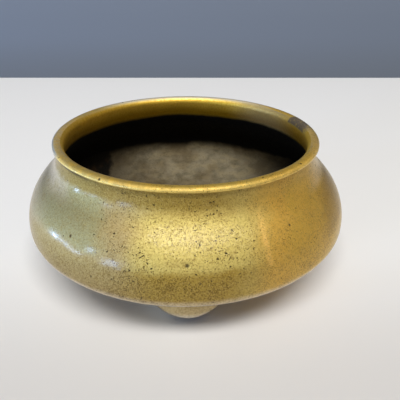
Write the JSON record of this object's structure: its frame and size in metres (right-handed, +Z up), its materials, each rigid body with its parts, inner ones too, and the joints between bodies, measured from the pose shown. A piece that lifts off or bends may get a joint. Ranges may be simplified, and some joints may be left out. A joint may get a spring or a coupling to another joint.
{
  "type": "tripod incense burner",
  "caption": "Squat cast-bronze incense burner: a round belly, short neck and rolled rim on low rounded feet, with a bed of ash inside for holding incense.",
  "frame": {"origin": "on the table the feet stand on, under the centre of the bowl", "axes": "+Z up, -Y toward the front foot and the picture's camera, +X to the picture's right"},
  "size_m": [0.13, 0.13, 0.0586],
  "materials": {
    "bronze": "worn satin bronze with fine casting pits",
    "braze": "dull brazing metal",
    "ash": "packed matt incense ash"
  },
  "bodies": {
    "root": {"bowl": "bronze", "foot_front": "bronze", "foot_rear_right": "bronze", "foot_rear_left": "bronze", "braze_bead_front": "braze", "braze_bead_rear_right": "braze", "braze_bead_rear_left": "braze", "ash_bed": "ash"}
  },
  "joints": []
}
